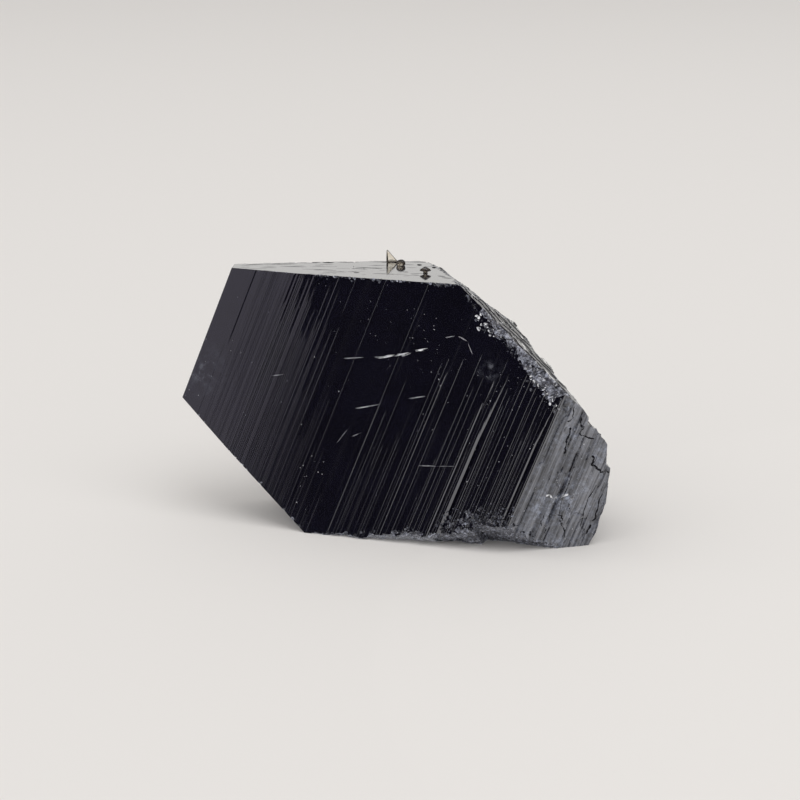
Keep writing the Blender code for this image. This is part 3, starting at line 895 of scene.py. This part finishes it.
def crushed_finish():
    """The white bruise along a scratch or in a pit, where the crystal is crushed to powder."""
    material, tree, shader = material_with("anatase_crushed", 1.5)
    grit = patches(tree, use(tree, PLACES), 9.0, 0.32, 0.52)
    colour = blend(tree, grit, (0.12, 0.125, 0.14), (0.86, 0.87, 0.90))
    paint(tree, shader, colour, between(tree, grit, 0.35, 0.70))
    raised(tree, shader, grit, 0.008 * MM, 0.6)
    return material


def weathered_finish():
    """The front below the waist: dull grey terraces with thin bluish films in patches."""
    material, tree, shader = material_with("anatase_weathered", 1.88)
    place = use(tree, PLACES)
    lines = use(tree, LINES, place, Across=5.5, Along=0.16)
    film = patches(tree, place, 1.4, 0.34, 0.62)
    stain = patches(tree, place, 4.0, 0.40, 0.66)
    near = between(tree, near_films(tree, place), 0.35, 1.0)
    both = times(tree, times(tree, film, stain), near)
    specks = times(tree, use(tree, DUST, place, Fineness=4.5, Size=0.13), stain)
    grey = blend(tree, lines, (0.002, 0.002, 0.004), (0.160, 0.163, 0.180))
    colour = blend(tree, both, grey, (0.30, 0.335, 0.43))
    colour = blend(tree, specks, colour, (0.42, 0.45, 0.52))
    rough = combine(tree, "ADD", between(tree, lines, 0.12, 0.22), times(tree, both, 0.3))
    paint(tree, shader, colour, rough)
    raised(tree, shader, stain, 0.006 * MM, 0.5)
    return material


def bruised_finish():
    """Crumbled edges: splintered glassy grains full of bluish-white powder."""
    material, tree, shader = material_with("anatase_bruised", 2.5)
    place = use(tree, PLACES)
    powder = patches(tree, place, 3.6, 0.40, 0.60)
    grit = patches(tree, place, 13.0, 0.38, 0.64)
    grains = node(tree, "TexVoronoi", Vector=place, Scale=6.5)
    tone = node(tree, "SeparateXYZ", Vector=grains.outputs["Color"])
    both = times(tree, powder, between(tree, grit, 0.25, 1.0))
    both = times(tree, both, between(tree, tone.outputs["X"], 0.1, 1.4))
    colour = blend(tree, both, (0.012, 0.013, 0.022), (0.46, 0.49, 0.60))
    paint(tree, shader, colour, between(tree, both, 0.10, 0.55))
    raised(tree, shader, combine(tree, "ADD", grains.outputs["Distance"], grit), 0.040 * MM)
    return material


finishes = [growth_finish(), fracture_finish(), crushed_finish(), weathered_finish(), bruised_finish()]
anatase = shown_object("anatase", body, finishes)
blocks = [rough_block(name, *shape) for name, shape in BREAKS.items()]
worn = (
    worn_block("weathering", LOWER_FRONT, (0.07, 5.62), (-9.9, 5.1), (116, 170), terraces, WEATHERED),
    worn_block("back_weathering", LOWER_BACK, (0.05, 6.6), (-3.0, 9.9), (76, 110), terraces, WEATHERED),
    worn_block("shingles", slope(), (-2.0, 9.0), (-1.0, 5.5), (90, 130), shingles, GROWN))
take_away(anatase, [*blocks, *worn, *make_marks()])

bm = bmesh.new()
bm.from_mesh(anatase.data)
bmesh.ops.scale(bm, verts=bm.verts, vec=(MM, MM, MM))
bmesh.ops.translate(bm, verts=bm.verts, vec=corner)
bmesh.ops.triangulate(bm, faces=bm.faces)
bm.to_mesh(anatase.data)
bm.free()
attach(anatase, "root")
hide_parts("anatase_crystal")

# ------------------------------------------------------------------------------
# The quartz on the top face: a clear splinter standing on its broad edge, a rounded grain beside it, and a
# small pointed bud with a narrow foot. All are slightly smoky and grew on the anatase. Their shapes come from
# the CAD, with blunted edges.

CAD_CLEARANCE = 0.02 * MM


def grown_from(name):
    """The merged shape of a CAD node, let down on the face that it stands on."""
    bm = bmesh.new()
    bm.from_mesh(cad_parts[name].data)
    bmesh.ops.remove_doubles(bm, verts=bm.verts, dist=0.0001 * MM)
    bmesh.ops.dissolve_limit(bm, angle_limit=radians(2), verts=bm.verts, edges=bm.edges)
    bmesh.ops.translate(bm, verts=bm.verts, vec=(0, 0, -CAD_CLEARANCE))
    return bm


def soften(bm, offset, segments=2):
    """Blunt the edges; they get the dark edge finish: smoky colour and painted shade."""
    bmesh.ops.bevel(bm, geom=bm.edges[:], offset=offset, segments=segments, profile=0.5, affect="EDGES",
                    clamp_overlap=True, material=1)


def roughen(bm, size, amount):
    for corner in bm.verts:
        corner.co += noise.noise_vector(corner.co / size) * amount


def quartz_finish(name, tint, strength):
    """Clear quartz with a slight smoky colour in its depth, cloudy patches on its skin, and painted shade at
    its rim.
    """
    material, tree, shader = material_with(name, 1.545)
    cloud = patches(tree, use(tree, PLACES), 6.0, 0.45, 0.75)
    shader.inputs["Transmission Weight"].default_value = 1.0
    # Dark brown towards the grazing rim: partly the smoky colour, partly painted shade for the dark crystal
    # seen through the quartz.
    rim = node(tree, "LayerWeight", Blend=0.70)
    clear = blend(tree, cloud, (0.96, 0.93, 0.86), (0.72, 0.60, 0.42))
    colour = blend(tree, rim.outputs["Facing"], clear, (0.05, 0.038, 0.026))
    paint(tree, shader, colour, between(tree, cloud, 0.02, 0.16))
    raised(tree, shader, cloud, 0.004 * MM, 0.5)
    depth = node(tree, "VolumeAbsorption", Density=strength, Color=(*tint, 1))
    join(tree, depth.outputs["Volume"], tree.nodes["Material Output"].inputs["Volume"])
    return material


def smoky_edges_painted_shade():
    """The blunted edges of the quartz, painted dark: partly their smoky colour, partly painted shade for the
    dark crystal seen through them.
    """
    material, tree, shader = material_with("quartz_edges", 1.545)
    cloud = patches(tree, use(tree, PLACES), 8.0, 0.40, 0.70)
    shader.inputs["Transmission Weight"].default_value = 0.4
    # Painted shade: the edges are darkened for the dark crystal seen through them, on top of the smoky
    # colour.
    colour = blend(tree, cloud, (0.020, 0.015, 0.010), (0.08, 0.062, 0.042))
    paint(tree, shader, colour, between(tree, cloud, 0.15, 0.40))
    return material


EDGES = smoky_edges_painted_shade()


def add_quartz(name, bm, material):
    bmesh.ops.recalc_face_normals(bm, faces=bm.faces)
    bmesh.ops.triangulate(bm, faces=bm.faces)
    piece = shown_object(name, bm, [material, EDGES])
    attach(piece, "root")
    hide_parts("quartz_" + name.split("_")[1])


splinter = grown_from("quartz_splinter")
soften(splinter, 0.028 * MM, 2)
roughen(splinter, 0.30 * MM, 0.010 * MM)
add_quartz("clear_splinter", splinter, quartz_finish("quartz_clear", (0.95, 0.86, 0.66), 900.0))

grain = grown_from("quartz_grain")
roughen(grain, 0.14 * MM, 0.025 * MM)
soften(grain, 0.010 * MM, 1)
add_quartz("smoky_grain", grain, quartz_finish("quartz_smoky", (0.66, 0.61, 0.54), 1800.0))

bud = grown_from("quartz_bud")
soften(bud, 0.020 * MM, 2)
add_quartz("pointed_bud", bud, quartz_finish("quartz_smoky_bud", (0.50, 0.45, 0.38), 4500.0))

# ------------------------------------------------------------------------------
# The studio: a pale floor, a softbox, the camera and a soft surround with a dark side. The camera, matt
# surfaces and glossy surfaces each see a surround of their own. In reflections a small disc stands in for
# the floor.

FLOOR_COLOUR = (0.80, 0.782, 0.764, 1)
MIRRORED_COLOUR = (0.77, 0.77, 0.80, 1)
BACKDROP_COLOUR = (0.70, 0.69, 0.67, 1)
SKY_COLOUR = (0.735, 0.723, 0.71, 1)
GROUND_COLOUR = (0.62, 0.62, 0.65)
BRIGHT_SIDE = (-0.45, -0.80, 0.40)
DARK_AZIMUTH = radians(16)

# The surround that glossy surfaces see: (how far round from the back, -1, to the front, 1, brightness, blue).
STOPS = ((-1.0, 1.20, 0.96), (-0.88, 1.17, 0.96), (-0.74, 0.62, 0.98), (-0.52, 0.20, 1.0), (-0.1, 0.16, 1.0),
         (0.3, 0.42, 1.06), (0.74, 0.27, 1.12), (0.81, 0.235, 1.12), (0.865, 0.012, 1.5), (1.0, 0.01, 1.5))


def floor(name, middle, radius, height, paper, colour):
    bm = bmesh.new()
    bmesh.ops.create_circle(bm, cap_ends=True, segments=96, radius=radius)
    bmesh.ops.translate(bm, verts=bm.verts, vec=(*middle, height))
    material, _, shader = material_with(paper, 1.3)
    shader.inputs["Base Color"].default_value = colour
    shader.inputs["Roughness"].default_value = 0.9
    disc = shown_object(name, bm, [material])
    return disc


floor_seen = floor("floor", (0, 0), 4.0, 0.0, "floor_paper", FLOOR_COLOUR)
floor_seen.visible_glossy = False
floor_mirrored = floor("floor_mirrored", (0.040, -0.016), 0.040, 0.02 * MM, "floor_paper_mirrored",
                       MIRRORED_COLOUR)
floor_mirrored.visible_camera = False
floor_mirrored.visible_diffuse = False
floor_mirrored.visible_shadow = False

world = bpy.data.worlds.new("studio")
bpy.context.scene.world = world
world.use_nodes = True
sky = world.node_tree
sky.nodes.clear()
where = node(sky, "TexCoord")
path = node(sky, "LightPath")


def facing(direction):
    """How far a ray points one way: about 1 along it, about -1 against it."""
    product = node(sky, "VectorMath", operation="DOT_PRODUCT")
    product.inputs[1].default_value = direction
    join(sky, where.outputs["Generated"], product.inputs[0])
    return product.outputs["Value"]


def seen_by(rays, chosen, otherwise):
    """One background for one kind of ray, and another for the rest."""
    mix = node(sky, "MixShader", Fac=path.outputs[rays])
    join(sky, otherwise, mix.inputs[1])
    join(sky, chosen, mix.inputs[2])
    return mix.outputs["Shader"]


around = facing((-sin(DARK_AZIMUTH), -cos(DARK_AZIMUTH), 0.0))
ramp = node(sky, "ValToRGB", Fac=between(sky, around, 0.0, 1.0, -1.0, 1.0))
ramp.color_ramp.interpolation = "LINEAR"
while len(ramp.color_ramp.elements) < len(STOPS):
    ramp.color_ramp.elements.new(0.5)
for element, (at, _, _) in zip(ramp.color_ramp.elements, STOPS):
    element.position = (at + 1) / 2
for element, (_, light, blue) in zip(ramp.color_ramp.elements, STOPS):
    element.color = (light, light * (0.985 if blue <= 1 else 0.94), light * blue, 1)

height = node(sky, "SeparateXYZ", Vector=where.outputs["Generated"])
downward = between(sky, height.outputs["Z"], 1.0, 0.0, -0.24, -0.12)
surround = node(sky, "Background", Color=blend(sky, downward, ramp.outputs["Color"], GROUND_COLOUR))
strength = between(sky, facing(BRIGHT_SIDE), 0.10, 1.62, -1.0, 1.0)
even = node(sky, "Background", Color=SKY_COLOUR, Strength=strength)
backdrop = node(sky, "Background", Color=BACKDROP_COLOUR)

soft = seen_by("Is Diffuse Ray", even.outputs["Background"], surround.outputs["Background"])
seen = seen_by("Is Camera Ray", backdrop.outputs["Background"], soft)
node(sky, "OutputWorld", Surface=seen)

SOFTBOX_DISTANCE = 0.80
box = bpy.data.lights.new("overhead_softbox", "AREA")
box.shape = "SQUARE"
box.size = 0.60
box.energy = 1.8
softbox = new_object("overhead_softbox", box)
softbox.location = Vector((0.30, -0.40, 0.86)) * SOFTBOX_DISTANCE
softbox.rotation_euler = softbox.location.to_track_quat("Z", "Y").to_euler()

eye = bpy.data.cameras.new("camera")
eye.lens = 85.5
eye.sensor_width = 36
eye.clip_start = 0.001
eye.clip_end = 20
camera = new_object("camera", eye)
camera.location = corner + Vector((12.332, -93.297, 16.827)) * MM
camera.rotation_euler = (radians(75.84), 0, radians(2.40))
bpy.context.scene.camera = camera
bpy.context.scene.view_settings.view_transform = "Standard"
